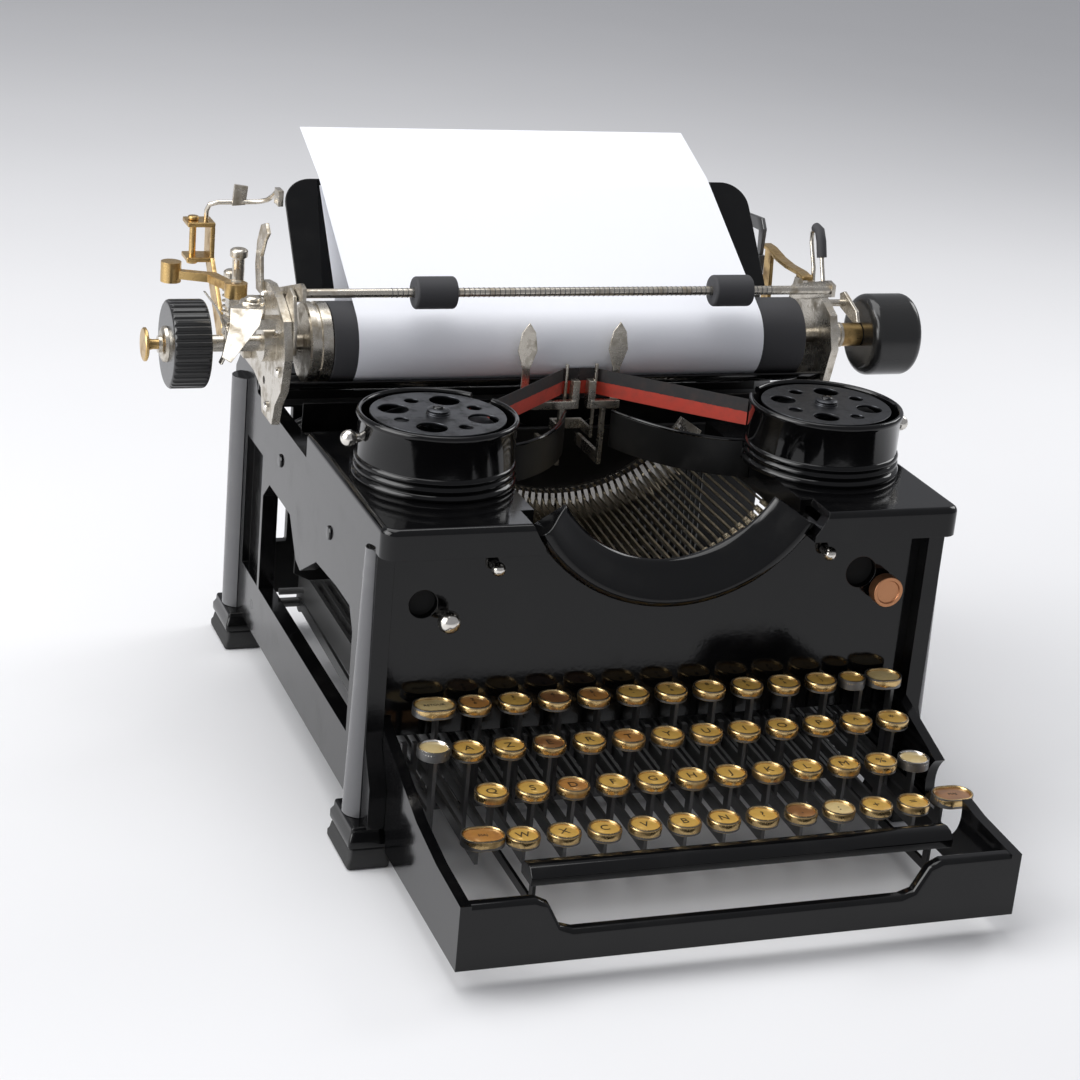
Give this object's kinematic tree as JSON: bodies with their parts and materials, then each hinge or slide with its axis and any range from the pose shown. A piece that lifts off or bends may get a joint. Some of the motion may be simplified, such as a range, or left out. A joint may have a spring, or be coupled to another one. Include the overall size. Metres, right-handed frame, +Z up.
{
  "type": "typewriter",
  "caption": "Front-strike desk typewriter with a sliding carriage, ringed keys in four rows, round spool cups and a sheet of paper.",
  "frame": {"origin": "on the table, under the middle of the whole machine", "axes": "+X to the typist's right, +Y away from the typist, +Z up"},
  "size_m": [0.3996, 0.392, 0.2763],
  "materials": {
    "black_enamel": "gloss",
    "key_ring": "satin",
    "nickel": "satin",
    "dark_steel": "satin",
    "platen_rubber": "matte",
    "foot_rubber": "matte",
    "knob_plastic": "gloss",
    "paper_white": "matte",
    "ribbon_cloth": "matte",
    "copper_ring": "satin"
  },
  "bodies": {
    "root": {"back_frame": "black_enamel", "basket_rim": "black_enamel", "carriage_rail": "dark_steel", "cover_left": "black_enamel", "cover_right": "black_enamel", "frame_screws": "nickel", "front_panel": "black_enamel", "key_lever_comb": "dark_steel", "keyboard_tray": "black_enamel", "ribbon": "ribbon_cloth", "ribbon_guards": "black_enamel", "rubber_feet": "foot_rubber", "segment_bracket": "black_enamel", "side_frame_left": "black_enamel", "side_frame_right": "black_enamel", "spool_cups": "black_enamel", "type_guide": "nickel", "type_segment": "nickel", "typebars": "nickel"},
    "home_key_01": {"home_key_01": "key_ring"},
    "home_key_02": {"home_key_02": "key_ring"},
    "home_key_03": {"home_key_03": "key_ring"},
    "home_key_04": {"home_key_04": "key_ring"},
    "home_key_05": {"home_key_05": "key_ring"},
    "home_key_06": {"home_key_06": "key_ring"},
    "home_key_07": {"home_key_07": "key_ring"},
    "home_key_08": {"home_key_08": "key_ring"},
    "home_key_09": {"home_key_09": "key_ring"},
    "home_key_10": {"home_key_10": "key_ring"},
    "home_key_11": {"home_key_11": "key_ring"},
    "digit_row_keys": {"digit_row_keys": "key_ring"},
    "upper_row_keys": {"upper_row_keys": "key_ring"},
    "lower_row_keys": {"lower_row_keys": "key_ring"},
    "shift_lock_key": {"shift_lock_key": "nickel"},
    "backspace_key": {"backspace_key": "key_ring"},
    "tab_key": {"tab_key": "key_ring"},
    "margin_release_key": {"margin_release_key": "key_ring"},
    "ribbon_reverse_key": {"ribbon_reverse_key": "nickel"},
    "shift_keys": {"shift_keys": "key_ring"},
    "space_bar": {"space_bar": "black_enamel"},
    "centre_typebar": {"centre_typebar": "nickel"},
    "ribbon_vibrator": {"ribbon_vibrator": "nickel"},
    "feed_roller": {"feed_roller": "dark_steel"},
    "bail_rollers": {"bail_rollers": "platen_rubber"},
    "line_space_lever": {"line_space_lever": "nickel"},
    "carriage_release_lever": {"carriage_release_lever": "nickel"},
    "paper_release_lever": {"paper_release_lever": "nickel"},
    "mainspring_drum": {"mainspring_drum": "dark_steel"},
    "touch_control_knob": {"touch_control_knob": "nickel"},
    "ribbon_selector_knob": {"ribbon_selector_knob": "copper_ring"},
    "spool_left": {"spool_left": "dark_steel"},
    "spool_right": {"spool_right": "dark_steel"},
    "carriage_base": {"carriage_base": "black_enamel"},
    "carriage_frame": {"carriage_frame": "nickel", "paper_table": "black_enamel", "paper": "paper_white"},
    "platen": {"platen": "platen_rubber", "platen_axle": "nickel", "platen_knobs": "knob_plastic"},
    "paper_bail": {"paper_bail": "nickel"}
  },
  "joints": [
    {"name": "home_key_01_press", "type": "hinge", "parent": "root", "child": "home_key_01", "pos_m": [0.01225, 0.1385, 0.035], "axis": [1, 0, 0], "range_deg": [0, 2.6], "stiffness_Nm_per_rad": 1.6, "springref_deg": -4.58},
    {"name": "home_key_02_press", "type": "hinge", "parent": "root", "child": "home_key_02", "pos_m": [0.01225, 0.1385, 0.035], "axis": [1, 0, 0], "range_deg": [0, 2.6], "stiffness_Nm_per_rad": 1.6, "springref_deg": -4.58},
    {"name": "home_key_03_press", "type": "hinge", "parent": "root", "child": "home_key_03", "pos_m": [0.01225, 0.1385, 0.035], "axis": [1, 0, 0], "range_deg": [0, 2.6], "stiffness_Nm_per_rad": 1.6, "springref_deg": -4.58},
    {"name": "home_key_04_press", "type": "hinge", "parent": "root", "child": "home_key_04", "pos_m": [0.01225, 0.1385, 0.035], "axis": [1, 0, 0], "range_deg": [0, 2.6], "stiffness_Nm_per_rad": 1.6, "springref_deg": -4.58},
    {"name": "home_key_05_press", "type": "hinge", "parent": "root", "child": "home_key_05", "pos_m": [0.01225, 0.1385, 0.035], "axis": [1, 0, 0], "range_deg": [0, 2.6], "stiffness_Nm_per_rad": 1.6, "springref_deg": -4.58},
    {"name": "home_key_06_press", "type": "hinge", "parent": "root", "child": "home_key_06", "pos_m": [0.01225, 0.1385, 0.035], "axis": [1, 0, 0], "range_deg": [0, 2.6], "stiffness_Nm_per_rad": 1.6, "springref_deg": -4.58},
    {"name": "home_key_07_press", "type": "hinge", "parent": "root", "child": "home_key_07", "pos_m": [0.01225, 0.1385, 0.035], "axis": [1, 0, 0], "range_deg": [0, 2.6], "stiffness_Nm_per_rad": 1.6, "springref_deg": -4.58},
    {"name": "home_key_08_press", "type": "hinge", "parent": "root", "child": "home_key_08", "pos_m": [0.01225, 0.1385, 0.035], "axis": [1, 0, 0], "range_deg": [0, 2.6], "stiffness_Nm_per_rad": 1.6, "springref_deg": -4.58},
    {"name": "home_key_09_press", "type": "hinge", "parent": "root", "child": "home_key_09", "pos_m": [0.01225, 0.1385, 0.035], "axis": [1, 0, 0], "range_deg": [0, 2.6], "stiffness_Nm_per_rad": 1.6, "springref_deg": -4.58},
    {"name": "home_key_10_press", "type": "hinge", "parent": "root", "child": "home_key_10", "pos_m": [0.01225, 0.1385, 0.035], "axis": [1, 0, 0], "range_deg": [0, 2.6], "stiffness_Nm_per_rad": 1.6, "springref_deg": -4.58},
    {"name": "home_key_11_press", "type": "hinge", "parent": "root", "child": "home_key_11", "pos_m": [0.01225, 0.1385, 0.035], "axis": [1, 0, 0], "range_deg": [0, 2.6], "stiffness_Nm_per_rad": 1.6, "springref_deg": -4.58},
    {"name": "digit_row_keys_press", "type": "hinge", "parent": "root", "child": "digit_row_keys", "pos_m": [0.01225, 0.1385, 0.035], "axis": [1, 0, 0], "range_deg": [0, 2.6], "stiffness_Nm_per_rad": 16, "springref_deg": -4.58},
    {"name": "upper_row_keys_press", "type": "hinge", "parent": "root", "child": "upper_row_keys", "pos_m": [0.01225, 0.1385, 0.035], "axis": [1, 0, 0], "range_deg": [0, 2.6], "stiffness_Nm_per_rad": 19.2, "springref_deg": -4.58},
    {"name": "lower_row_keys_press", "type": "hinge", "parent": "root", "child": "lower_row_keys", "pos_m": [0.01225, 0.1385, 0.035], "axis": [1, 0, 0], "range_deg": [0, 2.6], "stiffness_Nm_per_rad": 17.6, "springref_deg": -4.58},
    {"name": "shift_lock_key_press", "type": "hinge", "parent": "root", "child": "shift_lock_key", "pos_m": [0.01225, 0.1385, 0.035], "axis": [1, 0, 0], "range_deg": [0, 2.6], "stiffness_Nm_per_rad": 1.6, "springref_deg": -4.58},
    {"name": "backspace_key_press", "type": "hinge", "parent": "root", "child": "backspace_key", "pos_m": [0.01225, 0.1385, 0.035], "axis": [1, 0, 0], "range_deg": [0, 2.6], "stiffness_Nm_per_rad": 1.6, "springref_deg": -4.58},
    {"name": "tab_key_press", "type": "hinge", "parent": "root", "child": "tab_key", "pos_m": [0.01225, 0.1385, 0.035], "axis": [1, 0, 0], "range_deg": [0, 2.6], "stiffness_Nm_per_rad": 1.6, "springref_deg": -4.58},
    {"name": "margin_release_key_press", "type": "hinge", "parent": "root", "child": "margin_release_key", "pos_m": [0.01225, 0.1385, 0.035], "axis": [1, 0, 0], "range_deg": [0, 2.6], "stiffness_Nm_per_rad": 1.6, "springref_deg": -4.58},
    {"name": "ribbon_reverse_key_press", "type": "hinge", "parent": "root", "child": "ribbon_reverse_key", "pos_m": [0.01225, 0.1385, 0.035], "axis": [1, 0, 0], "range_deg": [0, 2.6], "stiffness_Nm_per_rad": 1.6, "springref_deg": -4.58},
    {"name": "shift_press", "type": "hinge", "parent": "root", "child": "shift_keys", "pos_m": [0.01225, 0.1385, 0.035], "axis": [1, 0, 0], "range_deg": [0, 2.6]},
    {"name": "space_bar_press", "type": "hinge", "parent": "root", "child": "space_bar", "pos_m": [0.01225, 0.1385, 0.035], "axis": [1, 0, 0], "range_deg": [0, 1.3], "stiffness_Nm_per_rad": 1.6, "springref_deg": -4.58},
    {"name": "centre_typebar_swing", "type": "hinge", "parent": "root", "child": "centre_typebar", "pos_m": [0.01225, 0.0715, 0.1094], "axis": [1, 0, 0], "range_deg": [-79.88, 0]},
    {"name": "ribbon_lift", "type": "slide", "parent": "root", "child": "ribbon_vibrator", "axis": [0, 0, 1], "range_m": [0, 0.0097]},
    {"name": "carriage_travel", "type": "slide", "parent": "root", "child": "carriage_base", "axis": [1, 0, 0], "range_m": [-0.1, 0.1]},
    {"name": "carriage_shift", "type": "slide", "parent": "carriage_base", "child": "carriage_frame", "axis": [0, 0, 1], "range_m": [0, 0.0065]},
    {"name": "platen_turn", "type": "hinge", "parent": "carriage_frame", "child": "platen", "pos_m": [0.01225, 0.075, 0.1964], "axis": [1, 0, 0], "continuous": true},
    {"name": "feed_roller_turn", "type": "hinge", "parent": "carriage_frame", "child": "feed_roller", "pos_m": [0.01225, 0.08815, 0.17362], "axis": [1, 0, 0], "continuous": true},
    {"name": "bail_swing", "type": "hinge", "parent": "carriage_frame", "child": "paper_bail", "pos_m": [0.01225, 0.0945, 0.214], "axis": [1, 0, 0], "range_deg": [-60, 8]},
    {"name": "bail_rollers_turn", "type": "hinge", "parent": "paper_bail", "child": "bail_rollers", "pos_m": [0.01225, 0.0525, 0.2267], "axis": [1, 0, 0], "continuous": true},
    {"name": "line_space", "type": "hinge", "parent": "carriage_frame", "child": "line_space_lever", "pos_m": [-0.15075, 0.0655, 0.215], "axis": [0, 0, 1], "range_deg": [0, 30], "stiffness_Nm_per_rad": 0.1, "springref_deg": -11.46},
    {"name": "carriage_release", "type": "hinge", "parent": "carriage_frame", "child": "carriage_release_lever", "pos_m": [-0.15075, 0.0995, 0.215], "axis": [0, 0, 1], "range_deg": [-15, 0], "stiffness_Nm_per_rad": 0.1, "springref_deg": 11.46},
    {"name": "paper_release", "type": "hinge", "parent": "carriage_frame", "child": "paper_release_lever", "pos_m": [0.14725, 0.0975, 0.2], "axis": [1, 0, 0], "range_deg": [0, 25]},
    {"name": "mainspring_turn", "type": "hinge", "parent": "root", "child": "mainspring_drum", "pos_m": [-0.08275, 0.1745, 0.1], "axis": [0, 1, 0], "range_deg": [-230, 230]},
    {"name": "spool_left_turn", "type": "hinge", "parent": "root", "child": "spool_left", "pos_m": [-0.08445, -0.0209, 0.175], "axis": [0, 0, 1], "continuous": true},
    {"name": "spool_right_turn", "type": "hinge", "parent": "root", "child": "spool_right", "pos_m": [0.10895, -0.0209, 0.175], "axis": [0, 0, 1], "continuous": true},
    {"name": "touch_control", "type": "hinge", "parent": "root", "child": "touch_control_knob", "pos_m": [-0.09135, -0.0695, 0.1143], "axis": [0, 1, 0], "range_deg": [-40, 40]},
    {"name": "ribbon_selector", "type": "hinge", "parent": "root", "child": "ribbon_selector_knob", "pos_m": [0.12435, -0.0695, 0.1172], "axis": [0, 1, 0], "range_deg": [-40, 40]}
  ],
  "couplings": [
    {"joint": "centre_typebar_swing", "follows": "home_key_06_press", "ratio": -30.646},
    {"joint": "ribbon_lift", "follows": "home_key_06_press", "m_per_rad": 0.20935},
    {"joint": "shift_press", "follows": "carriage_shift", "rad_per_m": 6.9743},
    {"joint": "feed_roller_turn", "follows": "platen_turn", "ratio": -3.3167},
    {"joint": "mainspring_turn", "follows": "carriage_travel", "rad_per_m": 40},
    {"joint": "spool_right_turn", "follows": "spool_left_turn", "ratio": 1}
  ]
}
